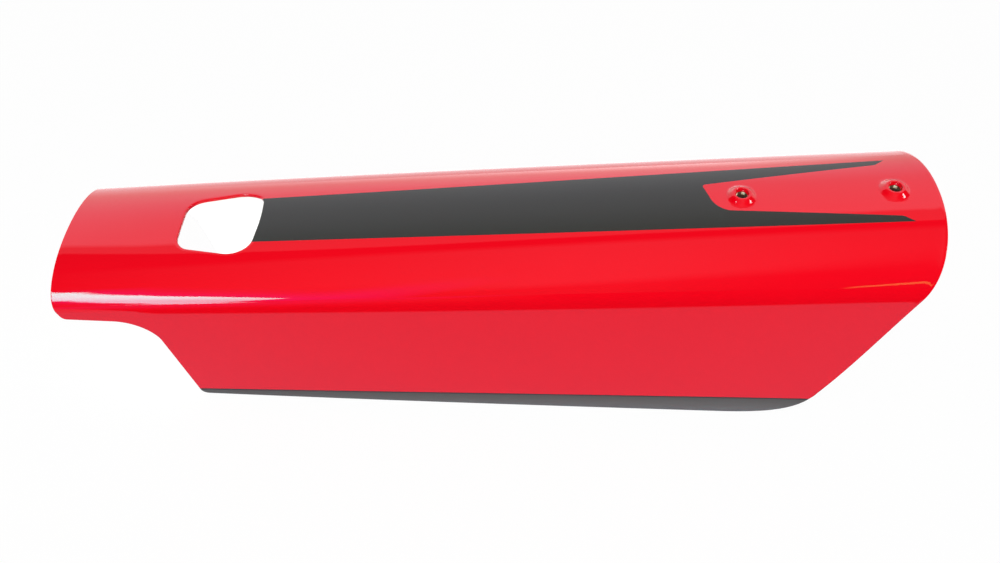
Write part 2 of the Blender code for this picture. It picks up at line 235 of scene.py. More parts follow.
class CoverSettings(PropertyGroup):
    """Sizes and colours of the cover that a user would change."""

    red: FloatVectorProperty(
        name="Red", description="Colour of the gloss paint", subtype='COLOR',
        default=(0.87, 0.0014, 0.0105), min=0, max=1,
    )
    black: FloatVectorProperty(
        name="Black", description="Colour of the matt stripe and lip", subtype='COLOR',
        default=(0.0245, 0.0235, 0.0165), min=0, max=1,
    )
    # Painted sheen of the matt lip towards its lower edge
    lip_sheen: FloatVectorProperty(
        name="Lip edge", description="Colour of the matt lip towards its lower edge", subtype='COLOR',
        default=(0.168, 0.158, 0.138), min=0, max=1,
    )
    pale: FloatVectorProperty(
        name="Inside", description="Colour of the bare plastic inside", subtype='COLOR',
        default=(0.82, 0.82, 0.80), min=0, max=1,
    )
    metal: FloatVectorProperty(
        name="Insert metal", description="Colour of the threaded inserts", subtype='COLOR',
        default=(0.84, 0.70, 0.46), min=0, max=1,
    )
    # Painted shade of the inserts: in the thread, and wherever no painted glint lies
    metal_shade: FloatVectorProperty(
        name="Deep metal", description="Colour of the inserts down in the thread", subtype='COLOR',
        default=(0.09, 0.045, 0.025), min=0, max=1,
    )
    edge_radius: FloatProperty(
        name="Edge radius", description="Rounding of every edge of the moulded wall",
        default=0.55 * MM, min=0.1 * MM, max=0.9 * MM, unit='LENGTH',
    )
    boss_flat: FloatProperty(
        name="Boss flat", description="Radius of the flat face on each boss",
        default=3.7 * MM, min=3.2 * MM, max=5.5 * MM, unit='LENGTH',
    )
    thread_pitch: FloatProperty(
        name="Thread pitch", description="Pitch of the thread in each insert",
        default=0.8 * MM, min=0.4 * MM, max=1.5 * MM, unit='LENGTH',
    )
    thread_depth: FloatProperty(
        name="Thread depth", description="Depth of the thread in each insert",
        default=0.4 * MM, min=0.1 * MM, max=0.6 * MM, unit='LENGTH',
    )
    knurls: IntProperty(
        name="Knurls", description="Ridges around each insert", default=36, min=12, max=72,
    )


class StudioSettings(PropertyGroup):
    """Strengths and colours of the studio."""

    floor: FloatVectorProperty(
        name="Floor", description="Colour of the floor", subtype='COLOR',
        default=(0.90, 0.90, 0.90), min=0, max=1,
    )
    ambient: FloatProperty(
        name="Ambient", description="Even light from all around", default=0.364, min=0, max=2,
    )
    key_power: FloatProperty(
        name="Key light", description="Power of the wide panel above the camera, in watts",
        default=12.7, min=0, max=200,
    )
    inside_power: FloatProperty(
        name="Inside light", description="Power of the small panel under the cover, in watts",
        default=0.05, min=0, max=2,
    )


# Shape of the shell


def along(pair, x):
    """A value that changes evenly from the low end of the cover to its high end."""
    return pair[0] + (pair[1] - pair[0]) * (x - LOW_END_X) / LENGTH


def crown_height(x):
    """Height of the ridge: a straight slope plus a parabola that is nil at both ends."""
    bow = 1 - (2 * (x - LOW_END_X) / LENGTH - 1) ** 2
    return along((LOW_END_HEIGHT, HIGH_END_HEIGHT), x) + CROWN_BOW * bow


def lip_height(x):
    """Height of the lip's upper line, which is straight."""
    return LIP_MIDDLE_HEIGHT + LIP_SLOPE * x


def flank_half_width(x, foot_x, z):
    """Half width at height z: even from foot to crown, less below^2 / 2R in the curl of the lip."""
    share = z / crown_height(x)
    foot = along(FOOT_HALF_WIDTHS, x)
    crown = along(CROWN_HALF_WIDTHS, x)
    below = np.maximum(lip_height(foot_x) - z, 0)
    return foot + (crown - foot) * share - below ** 2 / (2 * LIP_CURL_RADIUS)


def filleted(corners, radii, arc_steps, run_step):
    """Points along straight runs joined by arcs: each arc turns about the point on the bisector of
    its corner at radius / sin(half angle), and each run is divided into steps of about run_step."""
    parts = []
    for before, corner, after, radius in zip(corners, corners[1:], corners[2:], radii):
        corner = np.array(corner)
        back = np.array(before) - corner
        ahead = np.array(after) - corner
        back /= np.hypot(*back)
        ahead /= np.hypot(*ahead)
        half = math.acos(back @ ahead) / 2
        bisector = (back + ahead) / np.hypot(*(back + ahead))
        centre = corner + bisector * (radius / math.sin(half))
        start = corner + back * (radius / math.tan(half)) - centre
        end = corner + ahead * (radius / math.tan(half)) - centre
        turn = math.atan2(start[0] * end[1] - start[1] * end[0], start @ end)
        angle = np.linspace(0, turn, arc_steps + 1)
        arc = centre + np.stack([
            start[0] * np.cos(angle) - start[1] * np.sin(angle),
            start[0] * np.sin(angle) + start[1] * np.cos(angle),
        ], axis=1)
        if parts:
            first = parts[-1][-1]
            steps = max(1, round(np.hypot(*(arc[0] - first)) / run_step))
            share = np.arange(1, steps)[:, None] / steps
            parts.append(first + (arc[0] - first) * share)
        parts.append(arc)
    return np.concatenate(parts)


def foot_path():
    """Lower edge of the skirts in the side view, as rows of (x, z) from the low end on."""
    skirt_foot_x = HIGH_END_X - HIGH_SKIRT_FOOT
    corners = [
        (LOW_END_X, LOW_END_HEIGHT),
        (LOW_END_X + LOW_END_LEAN * (LOW_END_HEIGHT - LOW_END_STEP), LOW_END_STEP),
        (LOW_END_X + STEP_FACE_TOP, LOW_END_STEP),
        (LOW_END_X + STEP_FACE_FOOT, 0),
        (skirt_foot_x, 0),
        (skirt_foot_x + HIGH_SKIRT_LEAN * HIGH_END_HEIGHT, HIGH_END_HEIGHT),
    ]
    return filleted(corners, CORNER_RADII, ARC_STEPS, PATH_STEP)


FOOT = foot_path()
FIRST_X, LAST_X = FOOT[0, 0], FOOT[-1, 0]
SWAY = HIGH_SKIRT_LEAN * (HIGH_END_HEIGHT - FOOT[-1, 1]) / (HIGH_END_X - LAST_X) - 1


def crown_station(foot_x):
    """Where the section with this foot meets the ridge: x plus a square law towards each end."""
    low_share = np.maximum(0, foot_x / FIRST_X) ** 2
    high_share = np.maximum(0, foot_x / LAST_X) ** 2
    return foot_x + (LOW_END_X - FIRST_X) * low_share + (HIGH_END_X - LAST_X) * high_share


def lean(station, foot_x, foot_z, z):
    """x of a section's point at height z: straight from foot to ridge, plus a cubic that is nil at
    the foot, halfway up and at the ridge."""
    share = (z - foot_z) / (crown_height(station) - foot_z)
    return foot_x + (station - foot_x) * (share + SWAY * share * (1 - share) * (1 - 2 * share))


def arch_normal(across, up, half_width, rise):
    """Normal (y, z) of the superellipse |y/a|^n + |z/b|^n = 1: its gradient, made one long."""
    y = across ** (ARCH_FULLNESS - 1) / half_width
    z = up ** (ARCH_FULLNESS - 1) / rise
    size = np.hypot(y, z)
    return y / size, z / size


def half_shell(inset):
    """Grid of points (station, row) from ridge to left foot, moved into the wall by inset.

    The arch is y = W sin^(2/n), z = ridge - rise + rise cos^(2/n). Below it the flank and the lip
    follow the half width straight down.
    """
    foot_x, foot_z = FOOT[:, :1], FOOT[:, 1:]
    x = crown_station(foot_x)
    ridge = crown_height(x)
    rise = along(ARCH_RISES, x)
    springing = ridge - rise
    angle = np.linspace(0, math.pi / 2, ARCH_ROWS + 1)[None]
    across = np.sin(angle) ** (2 / ARCH_FULLNESS)
    up = np.abs(np.cos(angle)) ** (2 / ARCH_FULLNESS)
    up[:, -1] = 0
    arch_z = springing + rise * up
    arch_y = flank_half_width(x, foot_x, arch_z) * across
    normal_y, normal_z = arch_normal(across, up, flank_half_width(x, foot_x, springing), rise)
    lip_top = np.maximum(lip_height(foot_x), foot_z + np.minimum(LIP_LEAST_ROW, (springing - foot_z) / 2))
    flank_z = springing + (lip_top - springing) * np.linspace(0, 1, FLANK_ROWS + 1)[None, 1:]
    lip_z = lip_top + (foot_z - lip_top) * np.linspace(0, 1, LIP_ROWS + 1)[None, 1:]
    low_z = np.concatenate([flank_z, lip_z], axis=1)
    slope = np.maximum(lip_height(foot_x) - low_z, 0) / LIP_CURL_RADIUS
    low_y = flank_half_width(x, foot_x, low_z) - inset * np.sqrt(1 + slope ** 2)
    y = np.concatenate([arch_y - inset * normal_y, low_y], axis=1)
    z = np.concatenate([arch_z - inset * normal_z, low_z], axis=1)
    return np.stack([lean(x, foot_x, foot_z, z), y, z], axis=2)


def whole_shell(inset):
    """The half grid and its mirror image, from the right foot over the ridge to the left foot."""
    left = half_shell(inset)
    right = left[:, :0:-1] * (1, -1, 1)
    return np.concatenate([right, left], axis=1)


def on_crown(x, y, inset):
    """Points of the crown's outer side (inset 0) or inner side above plan points, by iteration."""
    station = x.copy()
    base_y = np.abs(y)
    z = crown_height(station)
    for _ in range(CROWN_PASSES):
        foot_x = np.interp(station, crown_station(FOOT[:, 0]), FOOT[:, 0])
        foot_z = np.interp(foot_x, FOOT[:, 0], FOOT[:, 1])
        ridge = crown_height(station)
        rise = along(ARCH_RISES, station)
        across = np.clip(base_y / flank_half_width(station, foot_x, z), 0, 0.999)
        up = (1 - across ** ARCH_FULLNESS) ** (1 / ARCH_FULLNESS)
        z = ridge - rise + rise * up
        width = flank_half_width(station, foot_x, ridge - rise)
        normal_y, normal_z = arch_normal(across, up, width, rise)
        base_y = np.abs(y) + inset * normal_y
        height = z - inset * normal_z
        station = station + x - lean(station, foot_x, foot_z, height)
    return np.stack([x, y, height], axis=-1)


class Skin:
    """Collects points and four-sided faces as whole arrays, and makes one mesh of them."""

    def __init__(self):
        self.points = []
        self.faces = []
        self.slots = []
        self.count = 0

    def add(self, points):
        """Adds points and returns their numbers, in the same shape."""
        shape = points.shape[:-1]
        self.points.append(points.reshape(-1, 3))
        numbers = np.arange(self.count, self.count + self.points[-1].shape[0])
        self.count += len(numbers)
        return numbers.reshape(shape)

    def cover(self, numbers, slot, keep=None, closed=False):
        """Faces between neighbouring rows and columns; closed joins the last column to the first."""
        if closed:
            numbers = np.concatenate([numbers, numbers[:, :1]], axis=1)
        quads = np.stack([
            numbers[:-1, :-1], numbers[:-1, 1:], numbers[1:, 1:], numbers[1:, :-1],
        ], axis=-1)
        quads = quads.reshape(-1, 4) if keep is None else quads[keep]
        self.faces.append(quads)
        self.slots.append(np.full(len(quads), slot, np.int32))

    def build(self, name, materials):
        points = np.concatenate(self.points)
        faces = np.concatenate(self.faces).astype(np.int32)
        mesh = bpy.data.meshes.new(name)
        mesh.vertices.add(len(points))
        mesh.vertices.foreach_set("co", points.astype(np.float32).ravel())
        mesh.loops.add(faces.size)
        mesh.loops.foreach_set("vertex_index", faces.ravel())
        mesh.polygons.add(len(faces))
        mesh.polygons.foreach_set("loop_start", np.arange(0, faces.size, 4, dtype=np.int32))
        mesh.polygons.foreach_set("material_index", np.concatenate(self.slots))
        for material in materials:
            mesh.materials.append(material)
        mesh.update(calc_edges=True)
        mesh.validate()
        point_out(mesh)
        mesh.shade_smooth()
        item = bpy.data.objects.new(name, mesh)
        bpy.context.scene.collection.objects.link(item)
        return item


def point_out(mesh):
    """Drops points that no face uses, and turns the faces of the closed surface outwards."""
    bm = bmesh.new()
    bm.from_mesh(mesh)
    loose = [vert for vert in bm.verts if not vert.link_faces]
    bmesh.ops.delete(bm, geom=loose, context='VERTS')
    bmesh.ops.recalc_face_normals(bm, faces=bm.faces)
    bm.to_mesh(mesh)
    bm.free()


def unit(vectors):
    """Vectors divided by their lengths."""
    return vectors / np.linalg.norm(vectors, axis=-1, keepdims=True)


def border(grid):
    """The border of a grid as one closed ring: right foot, high end, left foot, low end."""
    return np.concatenate([grid[:-1, 0], grid[-1, :-1], grid[:0:-1, -1], grid[0, :0:-1]])


def set_border(grid, ring):
    """Writes a closed ring back to the border of a grid."""
    rows, columns = grid.shape[0] - 1, grid.shape[1] - 1
    grid[:-1, 0] = ring[:rows]
    grid[-1, :-1] = ring[rows:rows + columns]
    grid[:0:-1, -1] = ring[rows + columns:2 * rows + columns]
    grid[0, :0:-1] = ring[2 * rows + columns:]


def outward(ring, wall):
    """Unit vectors that leave the surface square to its border and to the wall between its sides."""
    run = unit(np.roll(ring, -1, axis=0) - np.roll(ring, 1, axis=0))
    return unit(np.cross(run, wall))


def ease_back(grid, away, radius):
    """Moves points near the border away from it by radius (1 - d/D)^2, where d is the distance to the
    border and D is six radii, so that the rounded edge has room."""
    reach = 6 * radius
    rows, columns = grid.shape[0] - 1, grid.shape[1] - 1
    sides = (
        (grid[:, :1], away[:rows + 1][:, None]),
        (grid[-1:, :], away[rows:rows + columns + 1][None]),
        (grid[:, -1:], away[rows + columns:2 * rows + columns + 1][::-1][:, None]),
        (grid[:1, :], np.roll(away, -1, axis=0)[2 * rows + columns - 1:][::-1][None]),
    )
    shift = np.zeros_like(grid)
    weight = np.zeros(grid.shape[:2] + (1,))
    for edge, side_away in sides:
        distance = np.linalg.norm(grid - edge, axis=2, keepdims=True)
        share = np.maximum(0, 1 - distance / reach) ** 2
        shift += share * side_away
        weight += share
    grid -= radius * shift / np.maximum(1, weight)


def rounded_wall_edge(outer, inner, away, radius):
    """Rings that turn from the outer border to the inner one: a quarter circle about a centre that
    lies radius below each side and radius behind the edge, and a flat between the two."""
    across = unit(inner - outer)
    angle = QUARTER_TURN[:, None, None]
    back = outer - radius * away + radius * across
    first = back + radius * (away * np.sin(angle) - across * np.cos(angle))
    back = inner - radius * away - radius * across
    second = back + radius * (away * np.cos(angle) + across * np.sin(angle))
    return np.concatenate([first, second])


def grid_ring(numbers, hole):
    """The border of the hole (first station, last station, first row, last row) as a closed ring."""
    low, high, right, left = hole
    return border(numbers[low:high + 1, right:left + 1])


def hole_in(outer, low_x, high_x, half_width):
    """The hole in the grid that just clears a rectangle in plan."""
    middle = outer.shape[1] // 2
    ridge_x = outer[:, middle, 0]
    low = np.searchsorted(ridge_x, low_x) - 1
    high = np.searchsorted(ridge_x, high_x)
    reach = np.searchsorted(outer[(low + high) // 2, middle:, 1], half_width)
    return low, high, middle - reach, middle + reach


def window_outline(margin):
    """The window's outline in plan as a dense closed ring, pushed out by margin."""
    right = [(LOW_END_X + x, -y) for x, y, _ in WINDOW_RIGHT]
    left = [(LOW_END_X + x, y) for x, y, _ in reversed(WINDOW_LEFT)]
    corners = [*right, (LOW_END_X + WINDOW_BOW[0], 0), *left]
    radii = [radius for _, _, radius in WINDOW_RIGHT]
    far_radii = [radius for _, _, radius in reversed(WINDOW_LEFT)]
    radii = [*radii[1:], WINDOW_BOW[1], *far_radii, radii[0]]
    ring = filleted(corners + corners[:2], radii, WINDOW_ARC_STEPS, 0.5 * MM)
    closing = np.linspace(ring[-1], ring[0], WINDOW_ARC_STEPS)[1:-1]
    ring = np.concatenate([ring, closing])
    run = np.roll(ring, -1, axis=0) - np.roll(ring, 1, axis=0)
    away = np.stack([run[:, 1], -run[:, 0]], axis=1)
    return ring + margin * away / np.hypot(*away.T)[:, None]


def by_direction(ring, centre, direction):
    """Points of a closed plan ring seen from centre in each direction, from its dense points."""
    angle = np.arctan2(ring[:, 1] - centre[1], ring[:, 0] - centre[0])
    order = np.argsort(angle)
    distance = np.hypot(*(ring - centre).T)[order]
    reach = np.interp(direction, angle[order], distance, period=2 * math.pi)
    return centre + reach[:, None] * np.stack([np.cos(direction), np.sin(direction)], axis=1)


def evened(direction, blend):
    """Directions of a closed ring, drawn by blend from where they are to an even spacing."""
    turn = np.unwrap(direction)
    step = math.copysign(2 * math.pi, turn[-1] - turn[0]) / len(turn)
    even = turn[0] + step * np.arange(len(turn))
    even += (turn - even).mean()
    return turn + (even - turn) * blend


def add_window(skin, grids, numbers, hole, radius):
    """Rings in plan between the hole in the grid and the window's outline, on the outer and inner
    side, with quarter circles at both edges of the cut wall."""
    frame_ring = grid_ring(grids[0], hole)[:, :2]
    centre = frame_ring.mean(axis=0)
    direction = np.arctan2(*(frame_ring - centre).T[::-1])
    widths = radius * (1 - np.sin(QUARTER_TURN))
    drops = radius * (1 - np.cos(QUARTER_TURN))
    sides = []
    for side in (0, 1):
        ring = grid_ring(grids[side], hole)[:, :2]
        start = by_direction(window_outline(radius), centre, direction)
        share = np.linspace(0, 1, WINDOW_RINGS + 1)[1:-1, None, None]
        plan = ring + (start - ring) * share
        rings = [on_crown(plan[..., 0], plan[..., 1], WALL * side)]
        for width, drop in zip(widths, drops):
            edge = by_direction(window_outline(width), centre, direction)
            point = on_crown(edge[:, 0], edge[:, 1], WALL * side)
            rings.append((point + (0, 0, drop if side else -drop))[None])
        sides.append(np.concatenate(rings))
    outer, inner = sides
    share = np.array([1 / 3, 2 / 3])[:, None, None]
    wall = outer[-1] + (inner[-1] - outer[-1]) * share
    outer_numbers = skin.add(np.concatenate([outer, wall]))
    inner_numbers = skin.add(inner)
    first = grid_ring(numbers[0], hole)[None]
    last = grid_ring(numbers[1], hole)[None]
    skin.cover(np.concatenate([first, outer_numbers]), 0, closed=True)
    painted = len(widths)
    wall_numbers = np.concatenate([outer_numbers[-1:], inner_numbers[:-painted - 1:-1]])
    skin.cover(wall_numbers, 0, closed=True)
    skin.cover(np.concatenate([last, inner_numbers[:1 - painted]]), 1, closed=True)


def boss_frame(x):
    """Origin on the ridge, and the unit vectors along the ridge, across it and out of it."""
    slope = math.atan((HIGH_END_HEIGHT - LOW_END_HEIGHT) / LENGTH)
    axes = np.array(Matrix.Rotation(-slope, 3, 'Y')).T
    return np.array((x, 0, float(crown_height(np.array(x))))), axes


def from_boss(place, radius, direction, height):
    """Points at a radius, direction and height in a boss's frame."""
    origin, axes = place
    local = np.stack(np.broadcast_arrays(
        radius * np.cos(direction), radius * np.sin(direction), height,
    ), axis=-1)
    return origin + local @ axes


def crown_in_boss(place, radius, direction, inset):
    """Height of the crown in a boss's frame at a radius and direction, by iteration."""
    origin, axes = place
    along_ridge = radius * np.cos(direction)
    y = np.broadcast_to(radius * np.sin(direction), along_ridge.shape)
    x = origin[0] + along_ridge
    for _ in range(BOSS_PASSES):
        point = on_crown(x, y, inset)
        offset = (point - origin) @ axes.T
        x = x + (along_ridge - offset[..., 0])
    return offset[..., 2]


def boss_blend(radius, flat):
    """1 on the boss's flat face and 0 at its base. Between them it falls by half of t and half of
    t^2 (3 - 2t), which is steepest halfway."""
    t = np.clip((radius - flat) / (BOSS_BASE_RADIUS - flat), 0, 1)
    return 1 - 0.5 * t - 0.5 * t ** 2 * (3 - 2 * t)


def rings_to_circle(place, ring, radius, inset):
    """Rings on the crown that lead from a closed ring to a circle of this radius in a boss's frame,
    and the directions of the circle's points, which are evenly spaced."""
    offset = (ring - place[0]) @ place[1].T
    direction = np.arctan2(offset[:, 1], offset[:, 0])
    distance = np.hypot(offset[:, 0], offset[:, 1])
    rings = []
    for share in np.linspace(0, 1, BOSS_RINGS + 1)[1:]:
        turn = evened(direction, share)
        reach = distance * (1 - share) + radius * share
        height = crown_in_boss(place, reach, turn, inset)
        rings.append(from_boss(place, reach, turn, height)[None])
    return rings, turn


def add_boss(skin, grids, numbers, hole, x, radius, flat):
    """Rings from the hole in the grid over the boss, down its stepped bore, round the backing post
    and back to the hole on the inner side."""
    place = boss_frame(x)
    quarter = QUARTER_TURN[1:, None]
    rings, even = rings_to_circle(place, grid_ring(grids[0], hole), BOSS_BASE_RADIUS, 0)
    reach = np.linspace(BOSS_BASE_RADIUS, BOSS_BORE_RADIUS + radius, BOSS_FACE_RINGS + 1)[1:, None]
    crown = crown_in_boss(place, reach, even[None], 0)
    height = crown + (BOSS_HEIGHT - crown) * boss_blend(reach, flat)
    rings.append(from_boss(place, reach, even[None], height))
    reach = BOSS_BORE_RADIUS + radius * (1 - np.sin(quarter))
    rings.append(from_boss(place, reach, even[None], BOSS_HEIGHT - radius * (1 - np.cos(quarter))))
    ledge = BOSS_HEIGHT - INSERT_DEPTH + SEAT_GAP
    pocket = INSERT_RADIUS + SEAT_GAP
    profile = np.array([
        (BOSS_BORE_RADIUS, ledge + THROAT_LENGTH + THROAT_TAPER),
        (THROAT_RADIUS, ledge + THROAT_LENGTH), (THROAT_RADIUS, ledge), (pocket, ledge),
        (pocket, -BACKING_DEPTH / 3), (pocket, POCKET_CHAMFER - BACKING_DEPTH),
        (pocket + POCKET_CHAMFER, -BACKING_DEPTH),
    ])
    rings.append(from_boss(place, profile[:, :1], even[None], profile[:, 1:]))
    outer_numbers = skin.add(np.concatenate(rings))
    skin.cover(np.concatenate([grid_ring(numbers[0], hole)[None], outer_numbers]), 0, closed=True)

    fillet = 2 * radius
    foot_radius = BACKING_RADIUS + fillet
    rings, even = rings_to_circle(place, grid_ring(grids[1], hole), foot_radius, WALL)
    height = crown_in_boss(place, np.full_like(even, foot_radius), even, WALL)[None]
    reach = foot_radius - fillet * np.sin(quarter)
    rings.append(from_boss(place, reach, even[None], height - fillet * (1 - np.cos(quarter))))
    profile = np.array([
        (BACKING_RADIUS, BACKING_CHAMFER - BACKING_DEPTH),
        (BACKING_RADIUS - BACKING_CHAMFER, -BACKING_DEPTH),
    ])
    rings.append(from_boss(place, profile[:, :1], even[None], profile[:, 1:]))
    inner_numbers = skin.add(np.concatenate(rings))
    skin.cover(np.concatenate([grid_ring(numbers[1], hole)[None], inner_numbers]), 1, closed=True)
    skin.cover(np.stack([outer_numbers[-1], inner_numbers[-1]]), 1, closed=True)


def build_shell(settings, materials):
    """The whole wall: both sides on one grid, rounded edges all round, window and bosses."""
    radius = settings.edge_radius
    outer, inner = whole_shell(0.0), whole_shell(WALL)
    outer_edge, inner_edge = border(outer).copy(), border(inner).copy()
    wall = inner_edge - outer_edge
    away = outward(outer_edge, wall)
    middle = np.array([0, 0, outer[..., 2].max() / 2])
    if ((outer_edge - middle) * away).sum() < 0:
        away = -away
    rings = rounded_wall_edge(outer_edge, inner_edge, away, radius)
    for grid in (outer, inner):
        ease_back(grid, away, radius)
    set_border(outer, rings[0])
    set_border(inner, rings[-1])
    holes = [hole_in(outer, *WINDOW_FIELD)]
    holes += [hole_in(outer, x - BOSS_FIELD, x + BOSS_FIELD, BOSS_FIELD) for x in BOSSES.values()]
    keep = np.ones((outer.shape[0] - 1, outer.shape[1] - 1), bool)
    for low, high, right, left in holes:
        keep[low:high, right:left] = False
    skin = Skin()
    numbers = [skin.add(outer), skin.add(inner)]
    skin.cover(numbers[0], 0, keep)
    skin.cover(numbers[1], 1, keep)
    between = skin.add(rings[1:-1])
    first, last = border(numbers[0])[None], border(numbers[1])[None]
    skin.cover(np.concatenate([first, between[:EDGE_STEPS + 1]]), 0, closed=True)
    skin.cover(np.concatenate([between[EDGE_STEPS:], last]), 1, closed=True)
    grids = (outer, inner)
    add_window(skin, grids, numbers, holes[0], radius)
    for hole, x in zip(holes[1:], BOSSES.values()):
        add_boss(skin, grids, numbers, hole, x, BORE_EDGE_RADIUS, settings.boss_flat)
    return skin.build("painted_shell", materials)


def insert_surface(x, settings):
    """Rings of one threaded insert. The bore's radius is core + depth |2 frac(z/pitch - turn) - 1|
    with its crests and roots cut flat, and wider where the chamfers cut it. The outside is
    R - cut - knurl |sin(knurls turn / 2)|."""
    place = boss_frame(x)
    top = BOSS_HEIGHT - INSERT_DEPTH
    foot = top - INSERT_LENGTH
    direction = np.linspace(0, 2 * math.pi, THREAD_TURN_STEPS, endpoint=False)[None]
    z = np.linspace(foot, top, THREAD_ROWS + 1)[:, None]
    phase = z / settings.thread_pitch - direction / (2 * math.pi)
    ridge = np.abs(2 * (phase - np.floor(phase)) - 1)
    flat_ridge = np.clip(1.35 * ridge - 0.15, 0, 1)
    bore = INSERT_BORE_RADIUS + settings.thread_depth * flat_ridge
    chamfer = INSERT_BORE_RADIUS + INSERT_CHAMFER - np.minimum(top - z, z - foot)
    bore = np.maximum(bore, chamfer)
    below, cut, knurled = np.array(INSERT_OUTSIDE).T
    outer_z = np.concatenate([top - below, foot + below[::-1]])[:, None]
    cut = np.concatenate([cut, cut[::-1]])[:, None]
    knurled = np.concatenate([knurled, knurled[::-1]])[:, None]
    ridges = KNURL_DEPTH * np.abs(np.sin(settings.knurls * direction / 2)) * knurled
    outside = INSERT_RADIUS - cut - ridges
    face = np.linspace(bore[-1], outside[0], 6)[1:-1]
    base = np.linspace(outside[-1], bore[0], 6)[1:-1]
    reach = np.concatenate([bore, face, outside, base])
    height = np.concatenate([
        np.broadcast_to(z, bore.shape), np.full_like(face, top),
        np.broadcast_to(outer_z, outside.shape), np.full_like(base, foot),
    ])
    return from_boss(place, reach, direction, height)


# Materials


class Socket:
    """A shader output that takes part in Python expressions, each of which adds a Math node."""

    def __init__(self, nodes, output):
        self.nodes = nodes
        self.output = output

    def math(self, operation, *values, clamp=False):
        settings = {"operation": operation, "use_clamp": clamp}
        return self.nodes.node('ShaderNodeMath', settings, dict(enumerate(values)))[0]

    def __add__(self, other):
        return self.math('ADD', self, other)

    __radd__ = __add__

    def __sub__(self, other):
        return self.math('SUBTRACT', self, other)

    def __rsub__(self, other):
        return self.math('SUBTRACT', other, self)

    def __mul__(self, other):
        return self.math('MULTIPLY', self, other)

    __rmul__ = __mul__

    def __truediv__(self, other):
        return self.math('DIVIDE', self, other)

    def __pow__(self, other):
        return self.math('POWER', self, other)

    def larger(self, other):
        return self.math('MAXIMUM', self, other)

    def ramp(self, start, end):
        """0 at start and 1 at end, straight between them and level outside."""
        width = end - start
        return self.math('MULTIPLY_ADD', self, 1 / width, -start / width, clamp=True)


class Nodes:
    """A node tree whose nodes are added by type, with settings first and then values or links."""

    def __init__(self, tree):
        self.tree = tree

    def node(self, kind, settings, inputs):
        node = self.tree.nodes.new(kind)
        for key, value in settings.items():
            setattr(node, key, value)
        for key, value in inputs.items():
            self.join(node.inputs[key], value)
        return [Socket(self, output) for output in node.outputs]

    def join(self, socket, value):
        if isinstance(value, Socket):
            self.tree.links.new(value.output, socket)
        else:
            socket.default_value = value

    def place(self, coordinates):
        """Texture coordinates, as three values and as one vector."""
        outputs = self.node('ShaderNodeTexCoord', {}, {})
        vector = {"Generated": outputs[0], "Object": outputs[3]}[coordinates]
        return (*self.node('ShaderNodeSeparateXYZ', {}, {0: vector}), vector)

    def light_path(self):
        """Whether this is a camera ray, and whether it is a glossy ray."""
        outputs = self.node('ShaderNodeLightPath', {}, {})
        return outputs[0], outputs[3]

    def noise(self, vector, scale, detail=2.0, roughness=0.5):
        inputs = {"Vector": vector, "Scale": scale, "Detail": detail, "Roughness": roughness}
        return self.node('ShaderNodeTexNoise', {}, inputs)[0]

    def mix(self, factor, first, second):
        inputs = {0: factor, 6: first, 7: second}
        return self.node('ShaderNodeMix', {"data_type": 'RGBA'}, inputs)[2]

    def colour(self, red, green, blue):
        return self.node('ShaderNodeCombineXYZ', {}, {0: red, 1: green, 2: blue})[0]


class Shading(Nodes):
    """One material's nodes around its Principled shader."""

    def __init__(self, name, colour, roughness, metallic=0.0):
        self.material = bpy.data.materials.new(name)
        self.material.use_nodes = True
        self.material.diffuse_color = (*colour, 1.0)
        super().__init__(self.material.node_tree)
        self.shader = self.tree.nodes["Principled BSDF"]
        self.set("Base Color", (*colour, 1.0))
        self.set("Roughness", roughness)
        self.set("Metallic", metallic)

    def set(self, name, value):
        self.join(self.shader.inputs[name], value)

    def bump(self, height, distance, strength=1.0):
        inputs = {"Height": height, "Distance": distance, "Strength": strength}
        self.set("Normal", self.node('ShaderNodeBump', {}, inputs)[0])


def rgba(colour, scale=1.0):
    """A colour times scale, up to 1, with full alpha."""
    return (*(min(1.0, channel * scale) for channel in colour), 1.0)


def left_of(x, y, start, end):
    """Signed distance of (x, y) from the line through start and end, positive on its left."""
    run = Vector(end) - Vector(start)
    run.normalize()
    return y * run.x - x * run.y + (run.y * start[0] - run.x * start[1])


def rounded_corner(first, second, radius):
    """Signed distance outside a corner where two edges meet, rounded by radius."""
    a = (first + radius).larger(0.0)
    b = (second + radius).larger(0.0)
    return (a * a + b * b) ** 0.5 - radius


def stripe_distance(x, y):
    """How far a point lies outside the forked stripe in plan; negative inside it.

    The stripe is a band between two parabolas. The fork is cut out of its high end: it lies past the
    root, and outside both prongs, and each prong ends in a slanting cut.
    """
    start, slope, bend = STRIPE_LEFT_SIDE
    over_left = y - x * slope - x * x * bend - start
    start, slope, bend = STRIPE_RIGHT_SIDE
    over_right = x * slope + x * x * bend + start - y
    before = STRIPE_FIRST_X - x
    band = over_left.larger(over_right).larger(before)
    off_left = 0.0 - left_of(x, y, *FORK_LEFT_EDGE)
    left_cut = 0.0 - left_of(x, y, *LEFT_TIP_CUT)
    off_right = left_of(x, y, *FORK_RIGHT_EDGE)
    right_cut = left_of(x, y, *RIGHT_TIP_CUT)
    to_left = 0.0 - rounded_corner(off_left, left_cut, FORK_TIP_RADIUS)
    to_right = 0.0 - rounded_corner(off_right, right_cut, FORK_TIP_RADIUS)
    root = FORK_ROOT_X + (FORK_LEFT_EDGE[0][1] - y) * FORK_ROOT_LEAN - x
    left_root = rounded_corner(to_left, root, FORK_ROOT_RADII[0])
    right_root = rounded_corner(to_right, root, FORK_ROOT_RADII[1])
    fork = left_root.larger(right_root)
    return band.larger(0.0 - fork)


def crisp(distance, softness):
    """1 where the distance is negative and 0 where it is positive, with a narrow ramp between."""
    return distance.ramp(softness / 2, -softness / 2)


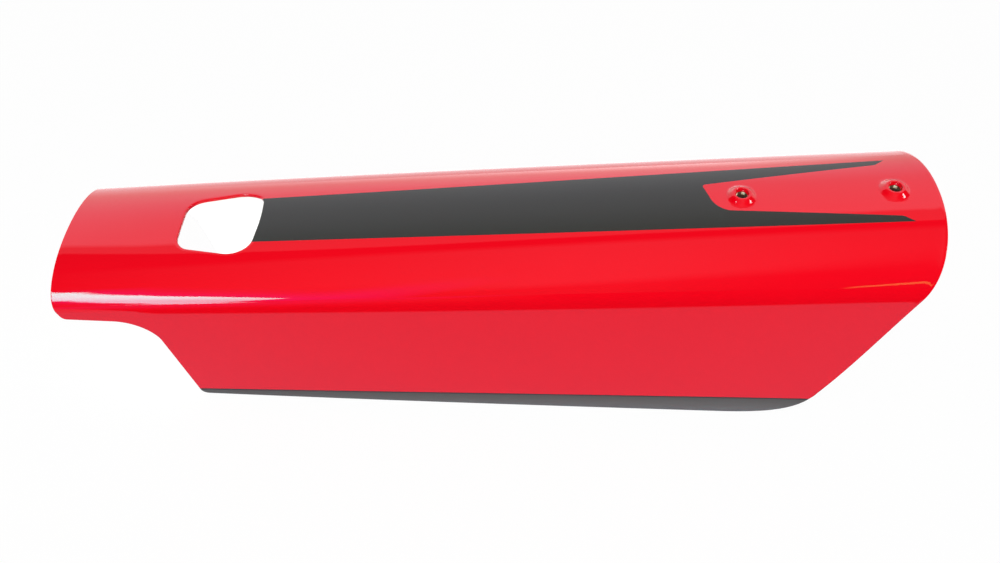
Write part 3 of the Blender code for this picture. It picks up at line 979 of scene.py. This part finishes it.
def paint_shading(settings):
    """Gloss red with a fine orange peel, and matt black with a fine grain on the stripe and lip, whose
    black has a painted sheen that lightens it towards its lower edge.
    """
    shading = Shading("cover_paint", settings.red, 0.03)
    x, y, z, vector = shading.place("Object")
    waver = (shading.noise(vector, WAVER_GRAIN) - 0.5) * PAINT_WAVER
    stripe = crisp(stripe_distance(x, y) + waver, STRIPE_SOFTNESS)
    over_lip = z - (x * LIP_SLOPE + LIP_MIDDLE_HEIGHT)
    lip = crisp(over_lip + waver, LIP_SOFTNESS)
    black = (stripe * z.ramp(STRIPE_LEAST_HEIGHT, STRIPE_LEAST_HEIGHT + 1 * MM)).larger(lip)
    cloud = shading.noise(vector, CLOUD_GRAIN, 3.0)
    red = shading.mix(cloud, rgba(settings.red, 0.97), rgba(settings.red, 1.03))
    grain = shading.noise(vector, MATT_GRAIN, 2.0, 0.6)
    black_and_sheen = shading.mix(grain, rgba(settings.black, 0.86), rgba(settings.black, 1.16))
    sheen_black = shading.mix(grain, rgba(settings.lip_sheen, 0.94), rgba(settings.lip_sheen, 1.06))
    # Painted sheen: the lip goes from black at its top line to the lighter sheen colour towards its lower
    # edge
    painted_highlight = over_lip.ramp(-0.4 * MM, -1.6 * MM) * 0.55 + over_lip.ramp(-2 * MM, -14 * MM) * 0.45
    black_and_sheen = shading.mix(painted_highlight * lip, black_and_sheen, sheen_black)
    shading.set("Base Color", shading.mix(black, red, black_and_sheen))
    smear = shading.noise(vector, SMEAR_GRAIN, 4.0, 0.6)
    gloss = 0.012 + smear * 0.02
    matt = 0.42 + grain * 0.08
    shading.set("Roughness", gloss + (matt - gloss) * black)
    shading.set("IOR", 1.5)
    peel = shading.noise(vector, PEEL_GRAIN, 1.0) * (1 - black)
    shading.bump(peel * 0.35 + grain * black * 1.2 + black * 1.2, 0.003 * MM)
    return shading.material


def plastic_shading(settings):
    """Bare moulded plastic: a fine spark-eroded grain and faint flow marks along the cover."""
    shading = Shading("bare_plastic", settings.pale, 0.5)
    vector = shading.place("Object")[3]
    grain = shading.noise(vector, PLASTIC_GRAIN, 3.0, 0.6)
    squeezed = shading.node('ShaderNodeMapping', {}, {"Vector": vector, "Scale": (12.0, 60.0, 60.0)})[0]
    flow = shading.noise(squeezed, 1.0, 3.0, 0.5)
    shading.set("Base Color", shading.mix(flow, rgba(settings.pale, 0.95), rgba(settings.pale, 1.02)))
    shading.set("Roughness", 0.45 + grain * 0.15)
    shading.bump(grain, 0.02 * MM, 0.6)
    return shading.material


def metal_shading(settings, name, place):
    """Turned metal: fine tool marks and duller patches. Painted glints keep it bright at two places
    around the bore, the rest is painted darker, and painted shade darkens the thread with depth."""
    shading = Shading("turned_metal_" + name, settings.metal, 0.4, 0.2)
    x, _, z, vector = shading.place("Object")
    origin, axes = place
    top = float(origin @ axes[2]) + BOSS_HEIGHT - INSERT_DEPTH
    depth = top - (x * float(axes[2][0]) + z * float(axes[2][2]))
    patch = shading.noise(vector, PATCH_GRAIN, 3.0)
    marks = shading.noise(vector, TOOL_MARK_GRAIN, 2.0)
    bright = shading.mix(patch, rgba(settings.metal, 1.1), rgba(settings.metal, 1.4))
    # Painted glints: two bands along the cover from the axis keep the bright metal, and the rest is
    # painted darker with the shade colour
    side = x - float(origin[0])
    begin, full, fade, end = GLINT_HIGH_SIDE
    painted_highlight = side.ramp(begin, full) * side.ramp(end, fade) + side.ramp(*GLINT_LOW_SIDE)
    bright = shading.mix(painted_highlight, rgba(settings.metal_shade, 1.5), bright)
    # Painted shade: the thread darkens with depth below the insert's top face
    deep = depth.ramp(0.3 * MM, 1.5 * MM)
    shading.set("Base Color", shading.mix(deep, bright, rgba(settings.metal_shade)))
    shading.set("Roughness", 0.40 + patch * 0.16 + deep * 0.15)
    shading.bump(marks, 0.006 * MM, 0.7)
    return shading.material


# Studio


def panel_light(name, place, target, size, power):
    """A soft rectangular light that looks from place at target and shows in no reflection."""
    light = bpy.data.lights.new(name, 'AREA')
    light.shape = 'RECTANGLE'
    light.size, light.size_y = size
    light.energy = power
    item = bpy.data.objects.new(name, light)
    item.location = place
    item.rotation_euler = (Vector(target) - Vector(place)).to_track_quat('-Z', 'Y').to_euler()
    item.visible_camera = False
    item.visible_glossy = False
    bpy.context.scene.collection.objects.link(item)


def floor_shading(colour):
    """Pale and diffuse. The camera sees it near white with the shadow left in. To glossy rays it glows
    with a
    painted reflection: a table, dim in front of the cover up to its front edge and bright behind it, and
    beyond the edge a dark floor with a violet mist and the foot of the tall lamp."""
    shading = Shading("pale_floor", colour, 0.7)
    x, y, _, vector = shading.place("Object")
    tone = shading.noise(vector, 3.0)
    shading.set("Base Color", shading.mix(tone, rgba(colour, 0.985), rgba(colour)))
    shading.set("Specular IOR Level", 0.0)
    camera, glossy = shading.light_path()
    white = shading.node('ShaderNodeEmission', {}, {"Color": (1, 1, 1, 1), "Strength": 1.0})[0]
    start, slope, bend = TABLE_EDGE
    edge = y + x * slope + x * x * bend + (TABLE_CORNER_X - x).larger(0.0) * TABLE_CORNER_TURN
    on_table = edge.ramp(start - 1 * MM, start + 1 * MM)
    behind = y.ramp(0.03, 0.06)
    painted_reflection = shading.mix(behind, rgba(TABLE_FRONT), (*TABLE_BACK, 1.0))
    far = y.ramp(-0.12, -0.30)
    mist = far * x.ramp(0.05, -0.05) * 0.08 + 0.01
    violet = far * x.ramp(-0.05, -0.20) * 0.5
    over = y / x
    lamp = y.ramp(-0.68, -0.78) * over.ramp(1.5, 1.6) * over.ramp(2.05, 1.95) * FOOT_GLOW
    beyond = shading.colour(mist + violet * 0.25 + 0.5, mist + violet * 0.06 + lamp,
                            mist + violet + lamp * 1.2)
    painted_reflection = shading.mix(on_table, beyond, painted_reflection)
    # Painted reflection: for glossy rays the floor glows with this colour instead of its own shading
    gleam = shading.node('ShaderNodeEmission', {}, {"Color": painted_reflection, "Strength": 1.0})[0]
    shown = Socket(shading, shading.shader.outputs[0])
    for factor, cover in ((camera * FLOOR_WHITENESS, white), (glossy, gleam)):
        shown = shading.node('ShaderNodeMixShader', {}, {0: factor, 1: shown, 2: cover})[0]
    shading.join(shading.tree.nodes["Material Output"].inputs["Surface"], shown)
    return shading.material


def add_floor(colour):
    """A flat square grid just under the cover's rim."""
    reach = np.linspace(-FLOOR_REACH, FLOOR_REACH, 13)
    x, y = np.meshgrid(reach, reach)
    skin = Skin()
    skin.cover(skin.add(np.stack([x, y, np.full_like(x, -FLOOR_DROP)], axis=-1)), 0)
    skin.build("studio_floor", [floor_shading(colour)])


def studio_gleam(nodes):
    """What the gloss of the paint sees around it, as a colour for each direction (x, y, z).

    A bright panel hangs above and behind, up to an edge in front of the zenith. It has a narrow dim
    band along that edge, then a dark gap, then the dim front of the room. A tall lamp stands in
    front on the left with a violet fringe, a warm line low on the right and a round lamp beside it.
    """
    x, y, z, vector = nodes.place("Generated")

    # Panel, its dim band, and the front of the room
    panel = (y - PANEL_EDGE + x.larger(0.0) * 0.13 - x.ramp(-0.59, -0.65) * 0.025).ramp(-0.02, 0.02)
    across = x.ramp(-0.75, -0.15) * x.ramp(0.40, 0.20)
    right = z.ramp(0.20, 0.0) * x.ramp(-0.15, 0.10) * 0.6
    low = (z.ramp(0.60, 0.30) * 0.83 + z.ramp(0.15, -0.15) * 1.15 + right) * across
    bright = panel * (PANEL_GLOW - x.ramp(0.18, 0.33) * 0.08 + low)
    gap = y - BAND_EDGE + x.larger(0.0) * 0.07 - (x * x) ** 2.0 * 0.8
    band = (1 - panel) * gap.ramp(-0.01, 0.01) * BAND_GLOW
    reach = (z - 0.5 - x * 0.95).ramp(-0.14, 0.12) * (1 - x.ramp(-0.10, -0.25) * z.ramp(0.70, 0.40) * 0.6)
    reach = reach * (0.24 - x.ramp(-0.10, -0.35) * 0.045 - x * x * 0.4 - x.larger(0.0) * 0.2)
    haze = z.ramp(-0.6, -0.1) * x.ramp(0.25, 0.05) * (0.09 - x * x * 0.2)
    front = y.ramp(0.13, 0.04) * (reach + haze + x.ramp(0.05, 0.25) * z.ramp(0.5, 0.8) * 0.04)
    room = bright + band + front + ROOM_GLOW

    # Tall lamp between its top and foot lines, and the violet fringe above and below it
    over = y / x
    top = LAMP_TOP - over.larger(0.64) * 0.26 - z
    foot = z + (over * 0.56 - 1.02).larger(-0.40)
    end = z * 2.0 + 2.36 - over
    ahead = y.ramp(0.0, -0.02)
    inside = top.ramp(0.0, 0.02) * foot.ramp(0.0, 0.03) * end.ramp(0.0, 0.1) * over.ramp(0.4, 0.5)
    inside = inside * x.ramp(-0.69, -0.67)
    upper = top.ramp(0.16, 0.04)
    lamp = (upper * LAMP_TOP_GLOW + LAMP_GLOW) * over.ramp(4.5, 1.45) * inside * ahead
    past = over.ramp(2.2, 3.2)
    above = (top / (over * 0.16 - 0.02).larger(0.05)).ramp(-1.0, 0.0) ** 2.0
    above = above * (1 - past) + z.ramp(0.80, 0.15) * past
    under = foot.ramp(-0.2, 0.0) * (foot.ramp(-0.03, 0.0) * 0.65 + 0.35) * (1 - past) + past
    fringe = above * under * over.ramp(5.5, 2.4) * ahead
    violet = fringe * over.ramp(0.4, 0.8) * (1 - inside) * FRINGE_GLOW

    # Warm line and round lamp
    off_line = z - x * WARM_LINE_SLOPE - WARM_LINE_START
    line = off_line.larger(0.0 - off_line) - x.ramp(0.35, 0.39) * 0.02
    warm = line.ramp(0.045, 0.025) * x.ramp(0.335, 0.345) * x.ramp(0.405, 0.395) * ahead
    aside = nodes.node('ShaderNodeVectorMath', {"operation": 'DISTANCE'}, {0: vector, 1: ROUND_LAMP})[1]
    spot = aside.ramp(*ROUND_LAMP_RADII) * ROUND_LAMP_GLOW

    red = room + violet * 0.25 + warm * 0.6 + spot
    green = room + lamp + violet * 0.04 + warm * 2.3 + spot
    blue = room * (1.2 - z.ramp(0.45, 0.15) * 0.2) + lamp * (1.22 - upper * 0.18)
    return nodes.colour(red, green, blue + violet + warm * 0.5 + spot)


def add_world(ambient):
    """White for the camera, the studio for reflections, and an even glow for everything else."""
    world = bpy.data.worlds.new("studio_air")
    bpy.context.scene.world = world
    world.use_nodes = True
    nodes = Nodes(world.node_tree)
    camera, glossy = nodes.light_path()
    colour = nodes.mix(glossy, (ambient, ambient, ambient, 1.0), studio_gleam(nodes))
    colour = nodes.mix(camera, colour, (1.0, 1.0, 1.0, 1.0))
    nodes.join(nodes.tree.nodes["Background"].inputs["Color"], colour)


def add_camera():
    """The photograph's camera: turned by yaw, looking down, then rolled about its own line of sight."""
    look = Matrix.Rotation(-CAMERA_YAW, 4, 'Z') @ Matrix.Rotation(math.pi / 2 - CAMERA_DOWN, 4, 'X')
    camera = bpy.data.cameras.new("photo_camera")
    camera.lens = CAMERA_LENS
    camera.sensor_width = CAMERA_SENSOR
    camera.clip_start = 0.01
    item = bpy.data.objects.new("photo_camera", camera)
    item.matrix_world = Matrix.Translation(CAMERA_PLACE) @ look @ Matrix.Rotation(CAMERA_ROLL, 4, 'Z')
    bpy.context.scene.collection.objects.link(item)
    bpy.context.scene.camera = item


# Operators


class BATTERY_COVER_OT_shell(Operator):
    """Build the painted shell with its window, bosses, stripe and lip"""

    bl_idname = "battery_cover.shell"
    bl_label = "Build Shell"

    def execute(self, context):
        settings = context.scene.cover_settings
        materials = [paint_shading(settings), plastic_shading(settings)]
        shell = build_shell(settings, materials)
        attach(shell, "root")
        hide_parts("cover_shell")
        return {'FINISHED'}


class BATTERY_COVER_OT_inserts(Operator):
    """Build the threaded insert of each boss"""

    bl_idname = "battery_cover.inserts"
    bl_label = "Build Inserts"

    def execute(self, context):
        settings = context.scene.cover_settings
        for name, x in BOSSES.items():
            metal = metal_shading(settings, name, boss_frame(x))
            skin = Skin()
            numbers = skin.add(insert_surface(x, settings))
            skin.cover(np.concatenate([numbers, numbers[:1]]), 0, closed=True)
            insert = skin.build("turned_insert_" + name, [metal])
            insert.data.set_sharp_from_angle(angle=math.radians(40))
            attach(insert, "root")
            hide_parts("threaded_insert_" + name)
        return {'FINISHED'}


class BATTERY_COVER_OT_studio(Operator):
    """Build the floor, the lights, the surroundings and the camera"""

    bl_idname = "battery_cover.studio"
    bl_label = "Build Studio"

    def execute(self, context):
        settings = context.scene.studio_settings
        add_floor(settings.floor)
        add_world(settings.ambient)
        add_camera()
        panel_light("key_panel", *KEY_PANEL, settings.key_power)
        panel_light("inside_panel", *INSIDE_PANEL, settings.inside_power)
        context.scene.view_settings.view_transform = 'Standard'
        return {'FINISHED'}


class BATTERY_COVER_PT_panel(Panel):
    bl_label = "Battery Cover"
    bl_space_type = 'VIEW_3D'
    bl_region_type = 'UI'
    bl_category = "Battery Cover"

    def draw(self, context):
        for operator in (BATTERY_COVER_OT_shell, BATTERY_COVER_OT_inserts, BATTERY_COVER_OT_studio):
            self.layout.operator(operator.bl_idname)
        for settings in (context.scene.cover_settings, context.scene.studio_settings):
            box = self.layout.box()
            for name in settings.__annotations__:
                box.prop(settings, name)


CLASSES = (
    CoverSettings,
    StudioSettings,
    BATTERY_COVER_OT_shell,
    BATTERY_COVER_OT_inserts,
    BATTERY_COVER_OT_studio,
    BATTERY_COVER_PT_panel,
)


def register():
    for cls in CLASSES:
        bpy.utils.register_class(cls)
    bpy.types.Scene.cover_settings = PointerProperty(type=CoverSettings)
    bpy.types.Scene.studio_settings = PointerProperty(type=StudioSettings)


def unregister():
    del bpy.types.Scene.studio_settings
    del bpy.types.Scene.cover_settings
    for cls in reversed(CLASSES):
        bpy.utils.unregister_class(cls)


def main():
    register()
    bpy.ops.battery_cover.shell()
    bpy.ops.battery_cover.inserts()
    bpy.ops.battery_cover.studio()


if __name__ == "__main__":
    main()
